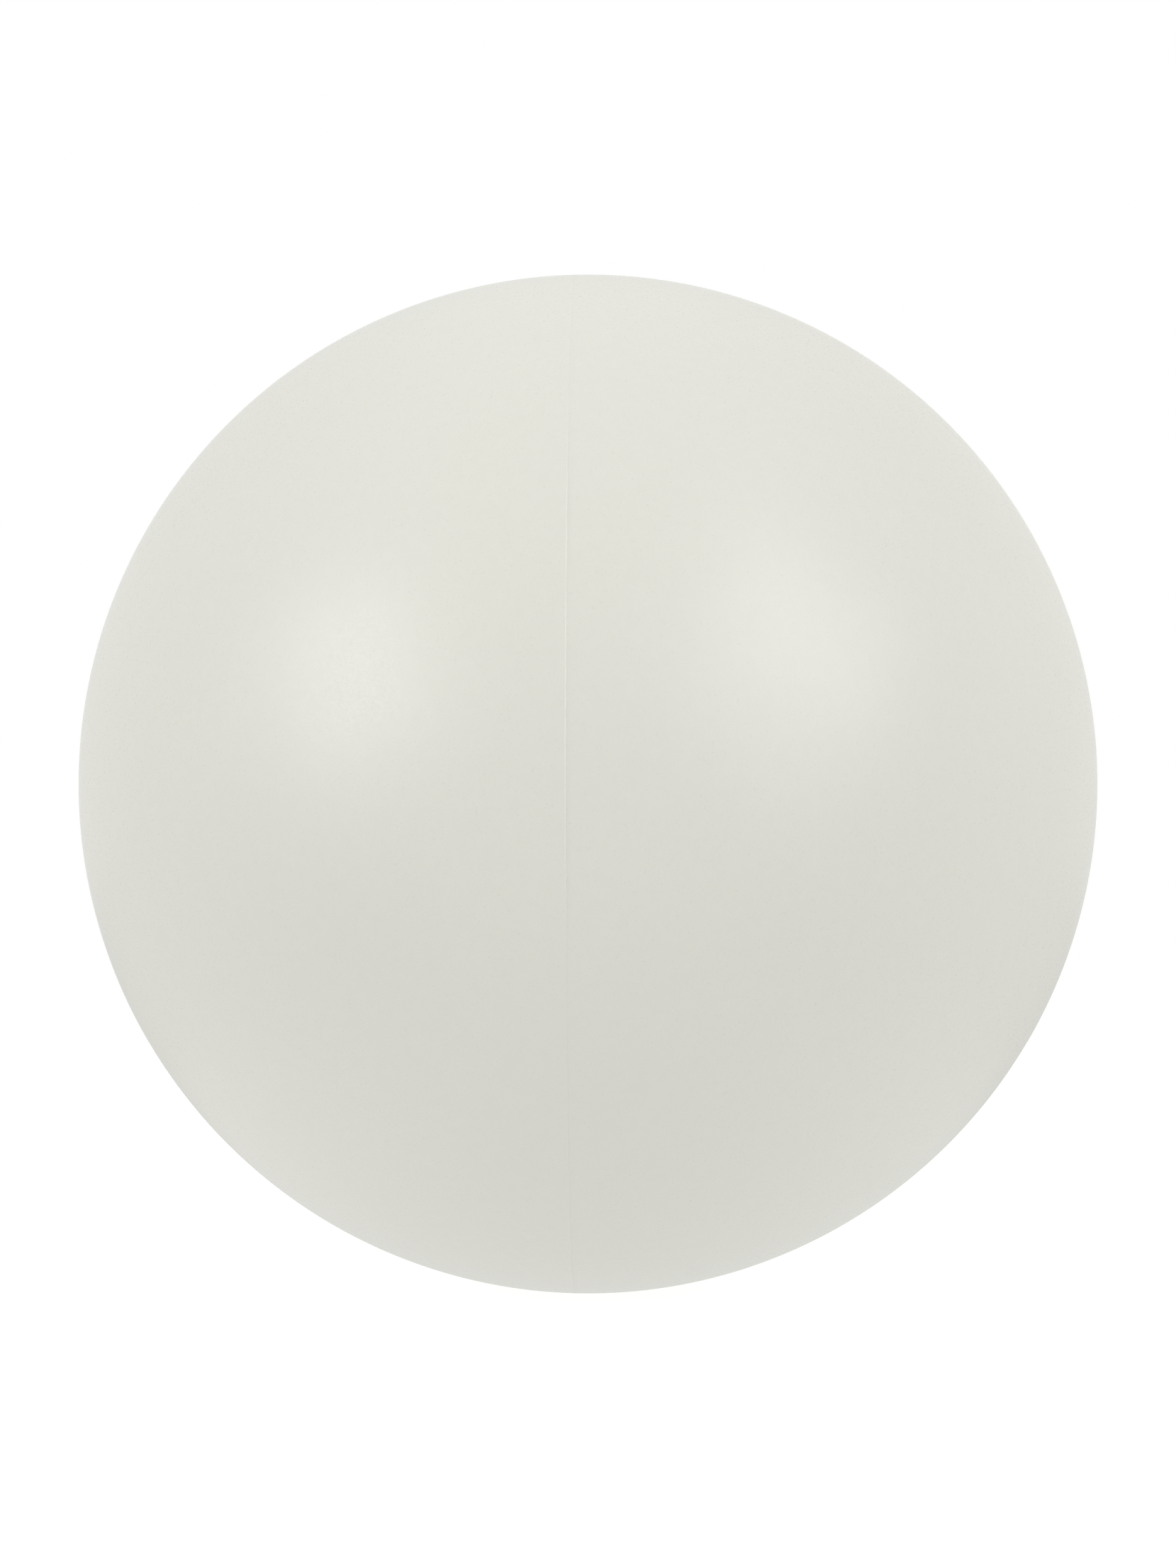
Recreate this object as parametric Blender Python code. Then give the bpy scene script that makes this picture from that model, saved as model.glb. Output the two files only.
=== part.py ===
"""A cue ball of 2 1/4 inches, moulded as two outer halves round a weighted middle.

Run with: blender --background --python part.py

The ball is centred on the origin, in metres, with +Z up. The two halves meet at a flat joint that is
square to X, a little to the -X side of the middle, so every piece is turned about the X axis:

    outer_shell_left, outer_shell_right   the satin white skin, with a tongue and groove joint
    joint_adhesive                        the glue line at the bottom of the groove
    inner_half_left, inner_half_right     the plastic bodies that fill the shells and hold the core
    steel_core                            the bearing ball that brings the ball up to playing weight
"""

import math

import bmesh
import bpy

MM = 0.001

# Driving dimensions
BALL_RADIUS = 57.15 * MM / 2  # the 2 1/4 inch ball of the pool rules
CORE_RADIUS = 25.4 * MM / 2  # a 1 inch bearing ball
SHELL_WALL = 6.0 * MM
SEAM_X = -0.71 * MM  # where the two shells part, just to the -X side of the middle
SEAM_GAP = 0.10 * MM  # between the two lips, which is the fine line seen round the ball
LIP_BREAK = 0.08 * MM  # the edge taken off each lip
FIT_GAP = 0.30 * MM  # between every other pair of faces that meet

# The tongue and groove, which lie in the middle of the shell's wall
TONGUE_WIDTH = 1.6 * MM
TONGUE_HEIGHT = 2.0 * MM
ADHESIVE_DEPTH = 0.8 * MM

# The register ring that lines up the two inner halves
REGISTER_RADIUS = 18.0 * MM
REGISTER_WIDTH = 2.4 * MM
REGISTER_HEIGHT = 1.5 * MM

# Worked out from them
SHELL_INNER_RADIUS = BALL_RADIUS - SHELL_WALL
INNER_RADIUS = SHELL_INNER_RADIUS - FIT_GAP
POCKET_RADIUS = CORE_RADIUS + FIT_GAP
TONGUE_RADIUS = BALL_RADIUS - SHELL_WALL / 2
GROOVE_WIDTH = TONGUE_WIDTH + 2 * FIT_GAP
GROOVE_DEPTH = TONGUE_HEIGHT + ADHESIVE_DEPTH + 2 * FIT_GAP

# How finely the round pieces are cut into flats
OUTER_SIDES = 64
INNER_SIDES = 32
MERGE_DISTANCE = 0.001 * MM
SMOOTH_ANGLE = math.radians(30)


def clear_scene():
    for obj in list(bpy.data.objects):
        bpy.data.objects.remove(obj)


def material(name, colour, roughness, metallic=0.0):
    made = bpy.data.materials.new(name)
    made.use_nodes = True
    shader = made.node_tree.nodes["Principled BSDF"]
    shader.inputs["Base Color"].default_value = (*colour, 1.0)
    shader.inputs["Roughness"].default_value = roughness
    shader.inputs["Metallic"].default_value = metallic
    return made


def arc(radius, start_x, end_x, sides):
    """Points (x, distance from the X axis) of a circle with so many sides, from one x to another.

    The points between the ends stand at whole steps round the circle, so one is always at x = 0.
    """
    start = math.acos(start_x / radius)
    end = math.acos(end_x / radius)
    turn = 2 * math.pi / sides
    between = [i * turn for i in range(sides // 2) if min(start, end) < i * turn < max(start, end)]
    angles = [start, *sorted(between, reverse=start > end), end]
    return [(radius * math.cos(a), max(0.0, radius * math.sin(a))) for a in angles]


def chord(radius, x):
    """How far from the X axis a sphere of this radius is at x."""
    return math.sqrt(radius**2 - x**2)


def lip(side, face_x):
    """The two ends of the small edge break where a shell's ball surface meets its joint face."""
    on_ball_x = face_x + side * LIP_BREAK
    return [(on_ball_x, chord(BALL_RADIUS, on_ball_x)), (face_x, chord(BALL_RADIUS, face_x) - LIP_BREAK)]


def step(face_x, radius, width, height):
    """The three sides of a ring that stands out of, or is cut into, a joint face, outside first."""
    outer = radius + width / 2
    inner = radius - width / 2
    return [(face_x, outer), (face_x + height, outer), (face_x + height, inner), (face_x, inner)]


def turned(name, profile, sides, finish, ring=False):
    """A solid turned about X from points (x, distance from X). A ring's profile closes on itself."""
    mesh = bpy.data.meshes.new(name)
    bm = bmesh.new()
    points = [bm.verts.new((x, 0.0, r)) for x, r in profile]
    ends = points[1:] + points[:1] if ring else points[1:]
    edges = [bm.edges.new(pair) for pair in zip(points, ends)]
    bmesh.ops.spin(
        bm,
        geom=points + edges,
        cent=(0.0, 0.0, 0.0),
        axis=(1.0, 0.0, 0.0),
        angle=2 * math.pi,
        steps=sides,
        use_merge=True,
    )
    bmesh.ops.remove_doubles(bm, verts=bm.verts, dist=MERGE_DISTANCE)
    bmesh.ops.recalc_face_normals(bm, faces=bm.faces)
    bm.to_mesh(mesh)
    bm.free()
    mesh.shade_smooth()
    mesh.set_sharp_from_angle(angle=SMOOTH_ANGLE)
    mesh.materials.append(finish)
    obj = bpy.data.objects.new(name, mesh)
    bpy.context.scene.collection.objects.link(obj)
    return obj


def outer_shell(name, side, joint_ring, finish):
    """Half of the white skin. side is -1 for the half at -X and +1 for the half at +X."""
    face_x = SEAM_X + side * SEAM_GAP / 2
    break_end = lip(side, face_x)
    outside = arc(BALL_RADIUS, side * BALL_RADIUS, break_end[0][0], OUTER_SIDES)
    inside = arc(SHELL_INNER_RADIUS, face_x, side * SHELL_INNER_RADIUS, INNER_SIDES)
    return turned(name, outside + break_end[1:] + joint_ring(face_x) + inside, OUTER_SIDES, finish)


def tongue(face_x):
    return step(face_x, TONGUE_RADIUS, TONGUE_WIDTH, TONGUE_HEIGHT)


def groove(face_x):
    return step(face_x, TONGUE_RADIUS, GROOVE_WIDTH, GROOVE_DEPTH)


def joint_adhesive(finish):
    """The ring of glue between the tongue's tip and the groove's floor."""
    floor_x = SEAM_X + SEAM_GAP / 2 + GROOVE_DEPTH - FIT_GAP
    section = step(floor_x, TONGUE_RADIUS, TONGUE_WIDTH, -ADHESIVE_DEPTH)
    return turned("joint_adhesive", section, OUTER_SIDES, finish, ring=True)


def inner_half(name, side, register_grows, finish):
    """Half of the body inside the shells, with a round pocket for the core and a register ring.

    register_grows is how much wider and taller the ring is than REGISTER_WIDTH and REGISTER_HEIGHT.
    """
    face_x = SEAM_X + side * FIT_GAP / 2
    ring = step(face_x, REGISTER_RADIUS, REGISTER_WIDTH + 2 * register_grows, REGISTER_HEIGHT + register_grows)
    outside = arc(INNER_RADIUS, side * INNER_RADIUS, face_x, INNER_SIDES)
    pocket = arc(POCKET_RADIUS, face_x, side * POCKET_RADIUS, INNER_SIDES)
    return turned(name, outside + ring + pocket, INNER_SIDES, finish)


def steel_core(finish):
    half_circle = arc(CORE_RADIUS, -CORE_RADIUS, CORE_RADIUS, INNER_SIDES)
    return turned("steel_core", half_circle, INNER_SIDES, finish)


def build():
    clear_scene()
    satin_white = material("satin_white", (0.70, 0.69, 0.63), 0.45)
    inner_plastic = material("inner_plastic", (0.52, 0.50, 0.45), 0.6)
    cured_adhesive = material("cured_adhesive", (0.62, 0.56, 0.40), 0.3)
    bearing_steel = material("bearing_steel", (0.60, 0.60, 0.61), 0.15, metallic=1.0)

    outer_shell("outer_shell_left", -1, tongue, satin_white)
    outer_shell("outer_shell_right", 1, groove, satin_white)
    joint_adhesive(cured_adhesive)
    inner_half("inner_half_left", -1, 0.0, inner_plastic)
    inner_half("inner_half_right", 1, FIT_GAP, inner_plastic)
    steel_core(bearing_steel)


build()
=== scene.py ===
"""The looks of the cue ball: satin moulded plastic in two halves, on a white table under soft boxes.

Every piece is turned about the X axis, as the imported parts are, with a finer profile: rounded edges, a
bead of flash along the seam, crush ribs round the core, and a meniscus on the glue. Lengths are in metres.
"""

import math

import bmesh
import bpy
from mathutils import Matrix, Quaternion, Vector, noise

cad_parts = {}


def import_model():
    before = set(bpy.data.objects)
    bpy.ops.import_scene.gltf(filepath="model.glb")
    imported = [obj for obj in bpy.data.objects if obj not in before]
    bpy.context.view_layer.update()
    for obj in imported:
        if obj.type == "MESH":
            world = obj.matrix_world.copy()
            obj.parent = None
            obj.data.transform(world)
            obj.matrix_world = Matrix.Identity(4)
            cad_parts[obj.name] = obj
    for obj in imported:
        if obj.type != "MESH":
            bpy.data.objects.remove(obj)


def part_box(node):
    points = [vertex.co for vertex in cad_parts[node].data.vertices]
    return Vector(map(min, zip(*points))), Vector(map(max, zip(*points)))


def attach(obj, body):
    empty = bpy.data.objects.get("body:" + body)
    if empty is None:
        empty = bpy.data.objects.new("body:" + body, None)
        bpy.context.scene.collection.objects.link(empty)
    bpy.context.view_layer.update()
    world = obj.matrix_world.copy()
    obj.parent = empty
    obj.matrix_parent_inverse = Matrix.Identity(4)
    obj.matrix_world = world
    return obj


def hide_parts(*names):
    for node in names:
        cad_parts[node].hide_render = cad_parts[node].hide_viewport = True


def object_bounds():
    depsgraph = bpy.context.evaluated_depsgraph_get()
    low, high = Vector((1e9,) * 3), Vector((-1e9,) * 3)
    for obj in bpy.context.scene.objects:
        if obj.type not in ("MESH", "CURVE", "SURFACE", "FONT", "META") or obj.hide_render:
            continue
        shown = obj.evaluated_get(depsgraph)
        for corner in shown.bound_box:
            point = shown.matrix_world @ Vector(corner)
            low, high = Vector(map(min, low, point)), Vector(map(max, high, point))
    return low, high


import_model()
cad_low, cad_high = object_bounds()

MM = 0.001
MICRON = 0.001 * MM

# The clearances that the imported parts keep
SEAM_GAP = 0.10 * MM
FIT_GAP = 0.30 * MM

# Taken from the imported parts
CENTRE = (cad_low + cad_high) / 2
BALL_RADIUS = cad_high.x
SEAM_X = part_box("outer_shell_right")[0].x - SEAM_GAP / 2
TONGUE_TIP_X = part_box("outer_shell_left")[1].x
GROOVE_FLOOR_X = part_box("joint_adhesive")[1].x + FIT_GAP
INNER_RADIUS = -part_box("inner_half_left")[0].x
REGISTER_TIP_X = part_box("inner_half_left")[1].x
CORE_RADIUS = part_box("steel_core")[1].x
SHELL_INNER_RADIUS = INNER_RADIUS + FIT_GAP
POCKET_RADIUS = CORE_RADIUS + FIT_GAP

# The tongue and groove in the middle of the shell's wall, and the register ring of the inner halves
TONGUE_RADIUS = (BALL_RADIUS + SHELL_INNER_RADIUS) / 2
TONGUE_WIDTH = 1.6 * MM
GROOVE_WIDTH = TONGUE_WIDTH + 2 * FIT_GAP
REGISTER_RADIUS = 18.0 * MM
REGISTER_WIDTH = 2.4 * MM
JOINT_ROUND = 0.25 * MM

# The seam: a fine bead of flash on the left half's edge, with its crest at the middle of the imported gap
BEAD_HEIGHT = 15 * MICRON
BEAD_WIDTH = 0.07 * MM
BEAD_WAVER = 0.35  # how much of its height comes and goes
PARTING_X = SEAM_X + BEAD_WIDTH / 2
HAIRLINE = 2 * MICRON
EDGE_ROUND = 2 * MICRON

# The seam shows best in three stretches round the turn, one of them in front and a little above the middle.
# Each follows a cosine: the seam is at its faintest below STRETCH_LOW, and shows fully above STRETCH_HIGH.
# In the satin material these stretches also set where the seam's painted highlight and painted shade are
# strongest.
STRETCHES = 3
STRETCH_RISE = math.radians(12.0)
STRETCH_LOW = -0.2
STRETCH_HIGH = 0.5
FAINTEST = 0.2

# The glue, which creeps up both sides of the tongue
GLUE_SKIN = 0.02 * MM  # between it and the shells
GLUE_CREEP = 0.45 * MM
GLUE_WAVER = 0.105 * MM

# The ribs in the pocket, which grip the core
RIBS = 12
RIB_HEIGHT = 0.27 * MM
RIB_SHARPNESS = 30
RIB_REACH = 0.7 * POCKET_RADIUS  # how far from the middle they end, along X
RIB_RUN_IN = 1.0 * MM
RIB_RUN_OUT = 2.0 * MM

# How finely the pieces are divided: round the turn, and along each arc
OUTER_SIDES = 384
INNER_SIDES = 288
ARC_STEPS = 96
BEAD_STEPS = 24
CORNER_STEPS = 4
TABLE_SIDES = 96

# The camera, on the photo's axis
LENS = 100.0
SENSOR = 36.0
CAMERA_DISTANCE = 8.608 * BALL_RADIUS
CAMERA_AZIMUTH = 0.84

# The table, and how bright it and the room are to the ball. ROOM_GREY is what the camera sees of the room.
TABLE_RADIUS = 0.24
TABLE_NEAR = 0.868
TABLE_FAR = 0.648
WORLD_FRONT = 0.186
WORLD_BACK = 0.943
WORLD_TOP = 0.322
ROOM_GREY = 0.52
WHITE = (1.0, 1.0, 1.0, 1.0)


# Shapes


def chord(radius, x):
    """How far from the X axis a sphere of this radius is at x."""
    return math.sqrt(radius**2 - x**2)


def arc(radius, start_x, end_x, count):
    """Points (x, distance from X) of a circle round the origin, from one x to another."""
    start = math.acos(start_x / radius)
    end = math.acos(end_x / radius)
    angles = [start + (end - start) * step / count for step in range(count + 1)]
    return [(radius * math.cos(angle), max(0.0, radius * math.sin(angle))) for angle in angles]


def rounded(points, radius):
    """The open line of points with each inner corner made round."""
    made = [points[0]]
    for before, corner, after in zip(points, points[1:], points[2:]):
        here = Vector(corner)
        back = Vector(before) - here
        on = Vector(after) - here
        cut = min(radius, back.length / 2, on.length / 2)
        start = here + back.normalized() * cut
        end = here + on.normalized() * cut
        for step in range(CORNER_STEPS + 1):
            share = step / CORNER_STEPS
            made.append(tuple(start.lerp(here, share).lerp(here.lerp(end, share), share)))
    return made + [points[-1]]


def eased(share):
    """A smooth step from 0 to 1."""
    share = min(1.0, max(0.0, share))
    return share * share * (3 - 2 * share)


def turned(name, profile, sides, ring=False, shift=None):
    """A closed mesh turned about X from points (x, distance from X). A point on the axis is one vertex.

    shift gives how far a profile point, by its number, moves in x and in distance at an angle of the turn.
    """
    bm = bmesh.new()
    rows = []
    for number, (x, distance) in enumerate(profile):
        if distance < MICRON:
            rows.append([bm.verts.new((x, 0.0, 0.0))])
            continue
        row = []
        for step in range(sides):
            angle = 2 * math.pi * step / sides
            along, out = shift(number, angle) if shift else (0.0, 0.0)
            reach = distance + out
            row.append(bm.verts.new((x + along, reach * math.cos(angle), reach * math.sin(angle))))
        rows.append(row)
    pairs = list(zip(rows, rows[1:]))
    if ring:
        pairs.append((rows[-1], rows[0]))
    for first, second in pairs:
        for step in range(sides):
            after = (step + 1) % sides
            corners = [first[step % len(first)], first[after % len(first)]]
            corners += [second[after % len(second)], second[step % len(second)]]
            bm.faces.new(dict.fromkeys(corners))  # without the repeat at a pole, where it is a triangle
    bmesh.ops.recalc_face_normals(bm, faces=bm.faces)
    mesh = bpy.data.meshes.new(name)
    bm.to_mesh(mesh)
    bm.free()
    mesh.shade_smooth()
    obj = bpy.data.objects.new(name, mesh)
    bpy.context.scene.collection.objects.link(obj)
    return obj


def waver(angle, slow, quick):
    """An unevenness round the turn, of slow swells and quick ripples. It is 0 on average."""
    across = Vector((math.cos(angle), math.sin(angle), 0.0))
    swell = noise.noise(across * slow + Vector((0.0, 0.0, 1.0)))
    ripple = noise.noise(across * quick + Vector((0.0, 0.0, 5.0)))
    return swell + 0.6 * ripple


def seam_shows(angle):
    """How much the seam shows at an angle of the turn, from FAINTEST to 1. The front is at half a turn."""
    rise = math.pi - angle
    swing = math.cos(STRETCHES * (rise - STRETCH_RISE))
    share = eased((swing - STRETCH_LOW) / (STRETCH_HIGH - STRETCH_LOW))
    return FAINTEST + (1 - FAINTEST) * share


def skin(side, bead_height):
    """The ball's surface of one half, from the pole to its joint face, with how proud each point stands."""
    face_x = PARTING_X + side * HAIRLINE / 2
    edge_x = face_x + side * EDGE_ROUND
    fine_x = edge_x + side * 1.2 * BEAD_WIDTH  # just past the bead, where the finer steps begin
    points = arc(BALL_RADIUS, side * BALL_RADIUS, fine_x, ARC_STEPS)
    points += arc(BALL_RADIUS, fine_x, edge_x, BEAD_STEPS)[1:]
    shares = [min(1.0, abs(x - edge_x) / BEAD_WIDTH) for x, _ in points]
    heights = [bead_height * math.sin(math.pi * share) ** 2 for share in shares]
    top = points[-1][1]
    for step in range(1, CORNER_STEPS + 1):
        angle = math.pi / 2 * step / CORNER_STEPS
        x = edge_x - side * EDGE_ROUND * math.sin(angle)
        points.append((x, top - EDGE_ROUND * (1 - math.cos(angle))))
    return points, heights


def inside(start, face_x, side, steps, radius):
    """From the end of an outer surface, over the joint face's steps and into the hollow, to its pole."""
    rim = (face_x, chord(radius, face_x))
    past_rim_x = face_x + side * 2 * JOINT_ROUND
    line = [start, *steps, rim, (past_rim_x, chord(radius, past_rim_x))]
    return rounded(line, JOINT_ROUND)[1:] + arc(radius, past_rim_x, side * radius, ARC_STEPS // 2)[1:]


def stepped(face_x, end_x, radius, width):
    """The three sides of a ring that stands out of a joint face, or is cut into it, outside first."""
    outer = radius + width / 2
    inner = radius - width / 2
    return [(face_x, outer), (end_x, outer), (end_x, inner), (face_x, inner)]


def outer_shell(name, side, bead_height, step_x, step_width):
    """One half of the white skin, with the tongue or the groove that ends at step_x."""
    outside, heights = skin(side, bead_height)
    face_x = outside[-1][0]
    steps = stepped(face_x, step_x, TONGUE_RADIUS, step_width)
    profile = outside + inside(outside[-1], face_x, side, steps, SHELL_INNER_RADIUS)

    def shift(number, angle):
        if number >= len(heights):
            return 0.0, 0.0
        return 0.0, heights[number] * seam_shows(angle) * (1 + BEAD_WAVER * waver(angle, 4, 22))

    return turned(name, profile, OUTER_SIDES, shift=shift)


def joint_adhesive():
    """The ring of glue, which fills the groove's floor and creeps up both sides of the tongue."""
    floor_x = GROOVE_FLOOR_X - GLUE_SKIN
    tip_x = TONGUE_TIP_X + GLUE_SKIN
    creep_x = tip_x - GLUE_CREEP
    wall = TONGUE_WIDTH / 2 + FIT_GAP - GLUE_SKIN
    tongue = TONGUE_WIDTH / 2 + GLUE_SKIN
    hollow = (creep_x + (wall - tongue) / 2, (wall + tongue) / 2)
    section = [(floor_x, wall), (creep_x, wall), hollow, (creep_x, tongue), (tip_x, tongue)]
    section += [(x, -offset) for x, offset in reversed(section)]
    line = rounded([section[-1], *section, section[0]], JOINT_ROUND)[1:-1]
    profile = [(x, TONGUE_RADIUS + offset) for x, offset in line]

    def shift(number, angle):
        x, distance = profile[number]
        free = eased((tip_x - x) / GLUE_CREEP)
        side = 1 if distance > TONGUE_RADIUS else -1
        return GLUE_WAVER * free * waver(angle + side, 7, 30), 0.0

    return turned("joint_adhesive_ring", profile, OUTER_SIDES, ring=True, shift=shift)


def inner_half(name, side, grown):
    """Half of the body inside the shells, with ribs in its pocket and the register ring or its recess.

    grown is how much deeper, and wider on each side, the recess is than the ring.
    """
    face_x = SEAM_X + side * FIT_GAP / 2
    near_rim_x = face_x + side * 2 * JOINT_ROUND
    outside = arc(INNER_RADIUS, side * INNER_RADIUS, near_rim_x, ARC_STEPS // 2)
    steps = stepped(face_x, REGISTER_TIP_X + grown, REGISTER_RADIUS, REGISTER_WIDTH + 2 * grown)
    steps.insert(0, (face_x, chord(INNER_RADIUS, face_x)))
    profile = outside + inside(outside[-1], face_x, side, steps, POCKET_RADIUS)
    first_in_pocket = len(profile) - ARC_STEPS // 2

    def shift(number, angle):
        if number < first_in_pocket:
            return 0.0, 0.0
        x = profile[number][0]
        full = eased(abs(x - face_x) / RIB_RUN_IN) * eased((RIB_REACH - abs(x)) / RIB_RUN_OUT)
        ridge = abs(math.cos(angle * RIBS / 2)) ** RIB_SHARPNESS
        return 0.0, -RIB_HEIGHT * full * ridge

    return turned(name, profile, INNER_SIDES, shift=shift)


def steel_core():
    half_circle = arc(CORE_RADIUS, -CORE_RADIUS, CORE_RADIUS, ARC_STEPS)
    return turned("steel_core_ball", half_circle, 2 * ARC_STEPS)


# Materials


class Shading:
    """A node tree, with a short way to add each kind of node that the materials use."""

    def __init__(self, tree, coordinates="Object"):
        self.tree = tree
        self.place = self.add("ShaderNodeTexCoord").outputs[coordinates]

    def add(self, kind, settings=None, **inputs):
        """A node with some settings, and values for inputs whose names have _ for a space."""
        node = self.tree.nodes.new(kind)
        for key, value in (settings or {}).items():
            setattr(node, key, value)
        for key, value in inputs.items():
            self.feed(node, key.replace("_", " "), value)
        return node

    def feed(self, node, key, value):
        """A value or another node's output into an input."""
        if isinstance(value, bpy.types.NodeSocket):
            self.tree.links.new(value, node.inputs[key])
        else:
            node.inputs[key].default_value = value

    def maths(self, operation, first, second=0.0):
        node = self.add("ShaderNodeMath", {"operation": operation})
        self.feed(node, 0, first)
        self.feed(node, 1, second)
        return node.outputs["Value"]

    def noise(self, scale, detail=2.0, roughness=0.5, stretch=(1.0, 1.0, 1.0), turn=(0.0, 0.0, 0.0)):
        """Noise with so many swells in a metre, drawn out along an axis where stretch is under 1."""
        where = self.add("ShaderNodeMapping", Vector=self.place, Scale=stretch, Rotation=turn).outputs[0]
        node = self.add("ShaderNodeTexNoise", Vector=where, Scale=scale, Detail=detail, Roughness=roughness)
        return node.outputs["Fac"]

    def ranged(self, value, low, high, to_low, to_high, smooth=False):
        """The value from low..high taken to to_low..to_high, and no further."""
        settings = {"interpolation_type": "SMOOTHSTEP" if smooth else "LINEAR"}
        bounds = {"From_Min": low, "From_Max": high, "To_Min": to_low, "To_Max": to_high}
        return self.add("ShaderNodeMapRange", settings, Value=value, **bounds).outputs["Result"]

    def blend(self, share, first, second):
        """A colour between two colours. The node has its colours at inputs 6 and 7 and at output 2."""
        node = self.add("ShaderNodeMix", {"data_type": "RGBA"})
        for index, value in ((0, share), (6, first), (7, second)):
            self.feed(node, index, value)
        return node.outputs[2]

    def scaled(self, colour, amount):
        node = self.add("ShaderNodeVectorMath", {"operation": "SCALE"}, Vector=colour, Scale=amount)
        return node.outputs["Vector"]

    def bump(self, height, depth, under=None):
        """A surface that follows height, which is 0 to 1, for a depth in metres, over another bump."""
        node = self.add("ShaderNodeBump", Height=height, Strength=1.0, Distance=depth)
        if under:
            self.feed(node, "Normal", under)
        return node.outputs["Normal"]


def new_material(name):
    """A material with its Principled shader and its tree."""
    made = bpy.data.materials.new(name)
    made.use_nodes = True
    return made, made.node_tree.nodes["Principled BSDF"], Shading(made.node_tree)


def satin_white(name, painted_seam_tone, painted_seam_width):
    """Moulded off-white plastic: fine grain, faint orange peel, and cloudy variation in colour and gloss.

    Close to the seam the colour is multiplied by the given tone, which is painted light: under 1 it is
    painted shade beside the seam, and over 1 it is a painted highlight along the bead of flash.
    """
    made, shader, nodes = new_material(name)
    clouds = nodes.noise(70.0, 3.0, 0.55)
    patches = nodes.ranged(nodes.noise(160.0), 0.35, 0.62, 0.35, 1.0)
    flecks = nodes.ranged(nodes.noise(1400.0, 2.0, 0.6), 0.3, 0.7, 0.993, 1.006)
    colour = nodes.blend(clouds, (0.752, 0.748, 0.678, 1.0), (0.738, 0.740, 0.680, 1.0))

    # Painted light at the seam: below 1 a painted shade beside the seam, above 1 a painted highlight on the
    # bead
    painted_share = nodes.maths("MULTIPLY", painted_seam_mask(nodes, painted_seam_width), patches)
    painted_tone = nodes.ranged(painted_share, 0.0, 1.0, 1.0, painted_seam_tone)
    nodes.feed(shader, "Base Color", nodes.scaled(nodes.scaled(colour, flecks), painted_tone))

    grain = nodes.noise(9000.0, 2.0, 0.7)
    cloudy_gloss = nodes.ranged(clouds, 0.3, 0.7, 0.37, 0.39)
    grainy_gloss = nodes.ranged(grain, 0.3, 0.7, -0.15, 0.15)
    nodes.feed(shader, "Roughness", nodes.maths("ADD", cloudy_gloss, grainy_gloss))
    nodes.feed(shader, "IOR", 1.5)
    peel = nodes.bump(nodes.noise(420.0, 1.0), 1.0 * MICRON)
    nodes.feed(shader, "Normal", nodes.bump(grain, 4.0 * MICRON, under=peel))
    return made


def painted_seam_mask(nodes, width):
    """Where the seam's painted highlight and painted shade go: 1 at the seam and 0 at this width from it,
    and less where the seam shows less, as in seam_shows.
    """
    split = nodes.add("ShaderNodeSeparateXYZ", Vector=nodes.place)
    from_seam = nodes.maths("ABSOLUTE", nodes.maths("SUBTRACT", split.outputs["X"], PARTING_X))
    near_seam = nodes.ranged(from_seam, 0.0, width, 1.0, 0.0)
    forward = nodes.maths("MULTIPLY", split.outputs["Y"], -1.0)
    rise = nodes.maths("ARCTAN2", split.outputs["Z"], forward)
    from_stretch = nodes.maths("SUBTRACT", rise, STRETCH_RISE)
    swing = nodes.maths("COSINE", nodes.maths("MULTIPLY", from_stretch, STRETCHES))
    shows = nodes.ranged(swing, STRETCH_LOW, STRETCH_HIGH, FAINTEST, 1.0, smooth=True)
    return nodes.maths("MULTIPLY", near_seam, shows)


def inner_plastic():
    """Reground plastic: flow marks drawn out across the seam, dark specks, and a matt, pitted skin."""
    made, shader, nodes = new_material("inner_plastic_regrind")
    flow = nodes.noise(140.0, 4.0, 0.6, stretch=(0.3, 1.0, 1.0))
    clouds = nodes.noise(45.0, 2.0)
    specks = nodes.ranged(nodes.noise(1900.0, 1.0), 0.70, 0.76, 0.0, 1.0)
    colour = nodes.blend(flow, (0.565, 0.545, 0.490, 1.0), (0.470, 0.452, 0.405, 1.0))
    warmer = nodes.ranged(clouds, 0.35, 0.65, 0.0, 0.5)
    colour = nodes.blend(warmer, colour, (0.530, 0.500, 0.430, 1.0))
    nodes.feed(shader, "Base Color", nodes.blend(specks, colour, (0.160, 0.145, 0.120, 1.0)))
    nodes.feed(shader, "Roughness", nodes.ranged(flow, 0.3, 0.7, 0.54, 0.68))
    nodes.feed(shader, "IOR", 1.5)
    swirl = nodes.bump(flow, 12.0 * MICRON)
    nodes.feed(shader, "Normal", nodes.bump(nodes.noise(3600.0, 2.0, 0.7), 10.0 * MICRON, under=swirl))
    return made


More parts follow.
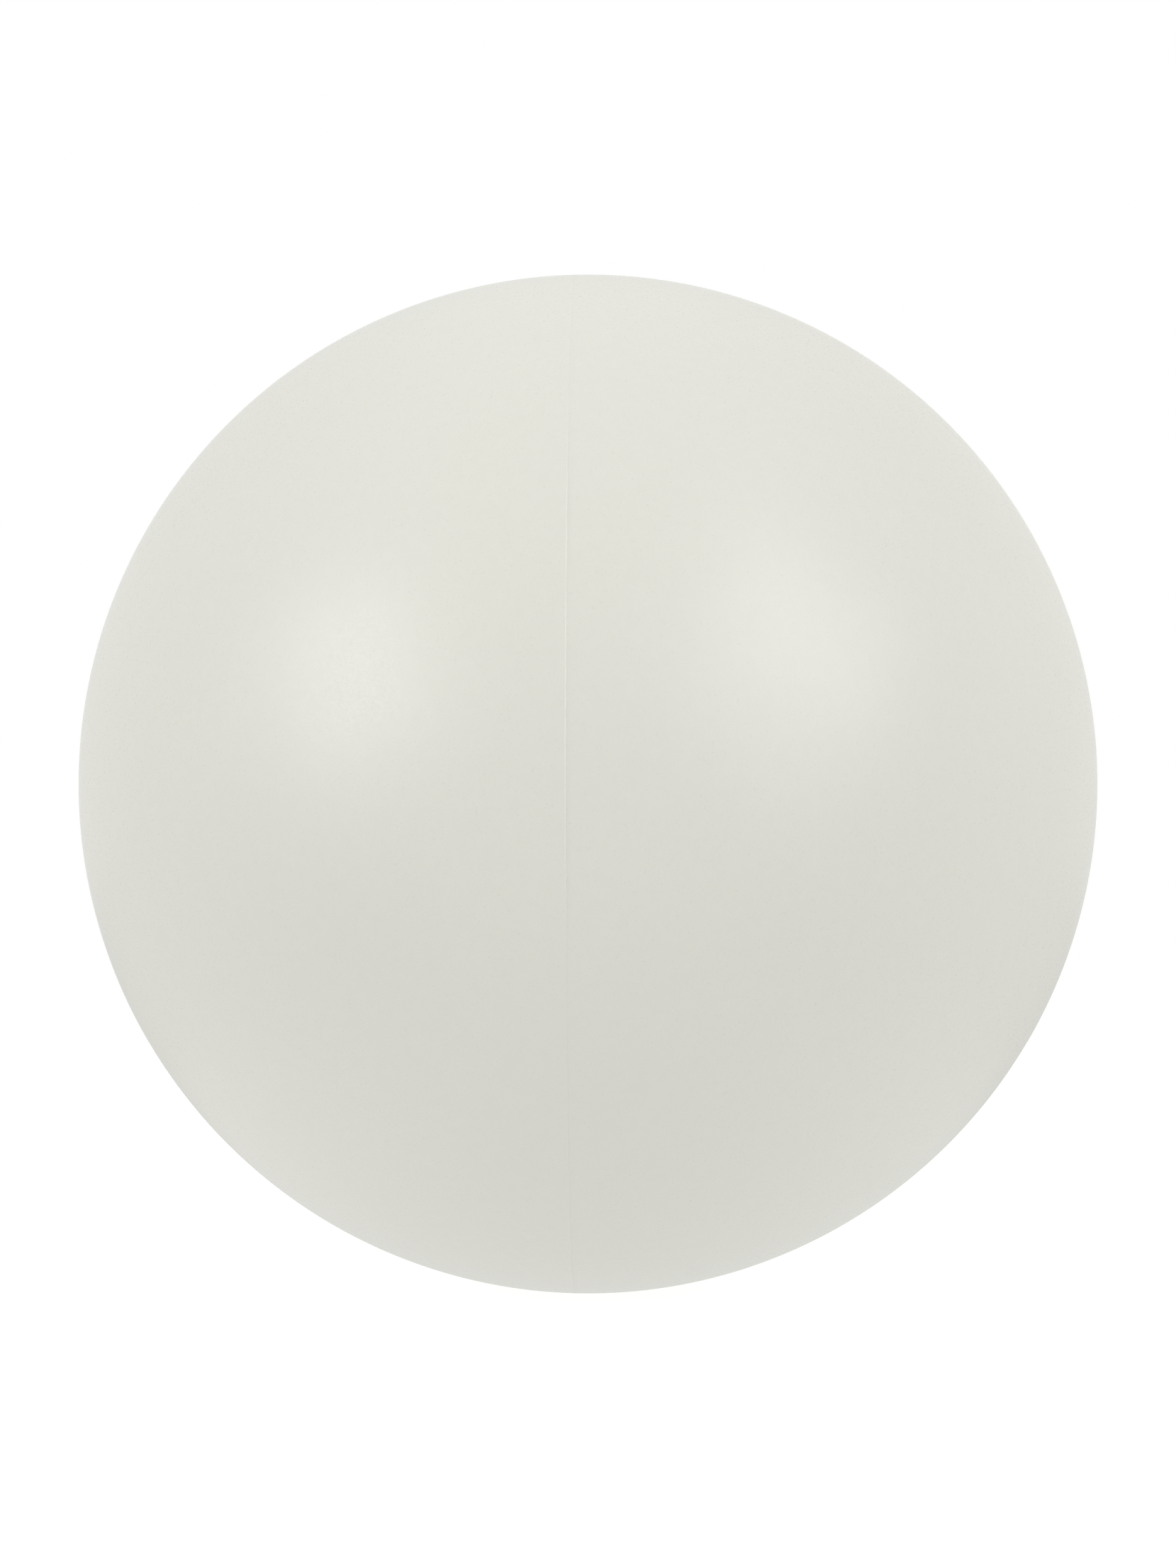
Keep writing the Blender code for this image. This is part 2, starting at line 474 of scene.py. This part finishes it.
def cured_adhesive():
    """Amber glue, glossy and a little clear, with bubbles of several sizes."""
    made, shader, nodes = new_material("cured_adhesive_amber")
    depth = nodes.noise(220.0, 3.0, 0.6)
    colour = nodes.blend(depth, (0.660, 0.590, 0.410, 1.0), (0.540, 0.455, 0.270, 1.0))
    heights = None
    for size, edge in ((900.0, 0.30), (2600.0, 0.22)):
        cells = nodes.add("ShaderNodeTexVoronoi", Vector=nodes.place, Scale=size)
        bubble = nodes.ranged(cells.outputs["Distance"], 0.6 * edge, edge, 1.0, 0.0, smooth=True)
        colour = nodes.blend(nodes.maths("MULTIPLY", bubble, 0.6), colour, (0.780, 0.720, 0.580, 1.0))
        heights = nodes.bump(bubble, 25.0 * MICRON, under=heights)
    nodes.feed(shader, "Base Color", colour)
    nodes.feed(shader, "Roughness", nodes.ranged(depth, 0.3, 0.7, 0.20, 0.34))
    nodes.feed(shader, "IOR", 1.55)
    nodes.feed(shader, "Subsurface Weight", 0.35)
    nodes.feed(shader, "Subsurface Radius", (0.0012, 0.0009, 0.0004))
    nodes.feed(shader, "Subsurface Scale", 1.0)
    nodes.feed(shader, "Normal", nodes.bump(nodes.noise(600.0), 30.0 * MICRON, under=heights))
    return made


def bearing_steel():
    """Polished chrome steel: lapping scratches in three directions, with a faint straw tint of oil."""
    made, shader, nodes = new_material("bearing_steel_polished")
    nodes.feed(shader, "Metallic", 1.0)
    film = nodes.ranged(nodes.noise(60.0, 3.0), 0.40, 0.70, 0.0, 1.0)
    colour = nodes.blend(film, (0.600, 0.600, 0.612, 1.0), (0.585, 0.570, 0.545, 1.0))
    nodes.feed(shader, "Base Color", colour)
    scratches = None
    deepest = 0.0
    for turn in ((0.2, 0.1, 0.4), (1.1, 0.5, 1.9), (2.3, 1.4, 0.9)):
        streaks = nodes.noise(2400.0, 2.0, stretch=(0.03, 1.0, 1.0), turn=turn)
        line = nodes.ranged(streaks, 0.60, 0.72, 0.0, 1.0)
        scratches = nodes.bump(line, 0.5 * MICRON, under=scratches)
        deepest = nodes.maths("MAXIMUM", line, deepest)
    smears = nodes.ranged(nodes.noise(160.0, 3.0), 0.35, 0.70, 0.09, 0.17)
    nodes.feed(shader, "Roughness", nodes.maths("ADD", nodes.maths("MULTIPLY", deepest, 0.10), smears))
    nodes.feed(shader, "Normal", scratches)
    return made


# Stage


def direction(azimuth, elevation):
    """The way from the ball's centre, by degrees right of the camera and degrees up."""
    turn = math.radians(azimuth + CAMERA_AZIMUTH)
    rise = math.radians(elevation)
    return Vector((math.sin(turn) * math.cos(rise), -math.cos(turn) * math.cos(rise), math.sin(rise)))


def soft_box(name, azimuth, elevation, roll, wide, high, radiance):
    """An area light a metre away that faces the ball.

    Its angles are in degrees. wide and high are half of the angles that it covers, as the ball sees it.
    """
    light = bpy.data.lights.new(name, "AREA")
    light.shape = "RECTANGLE"
    light.size = 2 * math.tan(math.radians(wide))
    light.size_y = 2 * math.tan(math.radians(high))
    light.energy = radiance * math.pi * light.size * light.size_y
    obj = bpy.data.objects.new(name, light)
    bpy.context.scene.collection.objects.link(obj)
    way = direction(azimuth, elevation)
    obj.location = CENTRE + way
    obj.rotation_mode = "QUATERNION"
    obj.rotation_quaternion = Quaternion(way, math.radians(roll)) @ way.to_track_quat("Z", "Y")
    obj.visible_camera = False


def lights():
    """Two soft boxes, each a hot middle in a dimmer sheet with its spill on the walls round it."""
    soft_box("left_spill", -76.0, 25.0, -53.0, 41.0, 41.0, 0.23)
    soft_box("left_sheet", -58.6, 14.1, -24.7, 31.8, 23.3, 0.62)
    soft_box("left_middle", -55.8, 21.1, -57.3, 16.0, 13.8, 3.23)
    soft_box("right_spill", 72.0, 23.7, 43.4, 41.0, 38.7, 0.28)
    soft_box("right_sheet", 42.1, 16.3, 35.8, 16.0, 20.5, 1.51)
    soft_box("right_middle", 55.5, 27.6, -24.3, 17.4, 12.4, 2.46)
    soft_box("right_corner", 54.2, 44.8, 14.8, 6.0, 7.5, 2.43)


def world():
    """A pale room, brighter behind the ball. The camera sees white behind the ball and grey elsewhere."""
    made = bpy.data.worlds.new("studio")
    bpy.context.scene.world = made
    made.use_nodes = True
    nodes = Shading(made.node_tree, "Generated")
    way = nodes.add("ShaderNodeSeparateXYZ", Vector=nodes.place)  # Y is 1 straight behind the ball
    walls = nodes.ranged(way.outputs["Y"], -0.2, 1.0, WORLD_FRONT, WORLD_BACK)
    top = nodes.ranged(way.outputs["Z"], 0.29, 1.0, 0.0, WORLD_TOP, smooth=True)
    shown = nodes.ranged(way.outputs["Y"], 0.7, 0.97, ROOM_GREY, 1.0, smooth=True)
    strength = nodes.add("ShaderNodeMix", {"data_type": "FLOAT"}, A=nodes.maths("ADD", walls, top), B=shown)
    nodes.feed(strength, "Factor", nodes.add("ShaderNodeLightPath").outputs["Is Camera Ray"])
    background = made.node_tree.nodes["Background"]
    nodes.feed(background, "Color", WHITE)
    nodes.feed(background, "Strength", strength.outputs[0])


def table():
    """A round sheet of white acrylic, lit from below, that the ball stands on."""
    bm = bmesh.new()
    bmesh.ops.create_circle(bm, cap_ends=True, radius=TABLE_RADIUS, segments=TABLE_SIDES)
    mesh = bpy.data.meshes.new("table")
    bm.to_mesh(mesh)
    bm.free()
    obj = bpy.data.objects.new("table", mesh)
    obj.location = (CENTRE.x, CENTRE.y, cad_low.z)
    bpy.context.scene.collection.objects.link(obj)
    mesh.materials.append(table_white())


def table_white():
    """White to the camera, with a faint shadow. On the ball it glows, a little less from further away."""
    made, shader, nodes = new_material("table_white")
    nodes.feed(shader, "Base Color", (0.4, 0.4, 0.4, 1.0))
    nodes.feed(shader, "Roughness", 0.9)
    nodes.feed(shader, "Specular IOR Level", 0.0)
    nodes.feed(shader, "Emission Color", WHITE)
    nodes.feed(shader, "Emission Strength", 0.75)
    reach = nodes.add("ShaderNodeVectorMath", {"operation": "LENGTH"}, Vector=nodes.place).outputs["Value"]
    glow = nodes.ranged(reach, BALL_RADIUS, 2.1 * BALL_RADIUS, TABLE_NEAR, TABLE_FAR, smooth=True)
    lit = nodes.add("ShaderNodeEmission", Strength=glow)
    shown = nodes.add("ShaderNodeLightPath").outputs["Is Camera Ray"]
    mixed = nodes.add("ShaderNodeMixShader")
    for index, value in enumerate((shown, lit.outputs[0], shader.outputs[0])):
        nodes.feed(mixed, index, value)
    nodes.feed(made.node_tree.nodes["Material Output"], "Surface", mixed.outputs[0])
    return made


def camera():
    lens = bpy.data.cameras.new("camera")
    lens.lens = LENS
    lens.sensor_width = SENSOR
    lens.clip_start = 0.01
    obj = bpy.data.objects.new("camera", lens)
    way = direction(0.0, 0.0)
    obj.location = CENTRE + way * CAMERA_DISTANCE
    obj.rotation_mode = "QUATERNION"
    obj.rotation_quaternion = (-way).to_track_quat("-Z", "Y")
    bpy.context.scene.collection.objects.link(obj)
    bpy.context.scene.camera = obj


def place(piece, material, node):
    """Gives a piece its material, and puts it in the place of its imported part."""
    piece.data.materials.append(material)
    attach(piece, "root")
    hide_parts(node)


camera()
world()
lights()
table()
bpy.context.scene.view_settings.view_transform = "Standard"

left_skin = outer_shell("outer_shell_left_skin", -1, BEAD_HEIGHT, TONGUE_TIP_X, TONGUE_WIDTH)
right_skin = outer_shell("outer_shell_right_skin", 1, 0.0, GROOVE_FLOOR_X, GROOVE_WIDTH)
# The left half's colour is lightened along the seam's bead: a painted highlight.
place(left_skin, satin_white("satin_white_left_painted_highlight", 1.09, 0.12 * MM), "outer_shell_left")
# The right half's colour is darkened beside the seam: painted shade.
place(right_skin, satin_white("satin_white_right_painted_shade", 0.958, 0.27 * MM), "outer_shell_right")
place(joint_adhesive(), cured_adhesive(), "joint_adhesive")
regrind = inner_plastic()
place(inner_half("inner_half_left_body", -1, 0.0), regrind, "inner_half_left")
place(inner_half("inner_half_right_body", 1, FIT_GAP), regrind, "inner_half_right")
place(steel_core(), bearing_steel(), "steel_core")
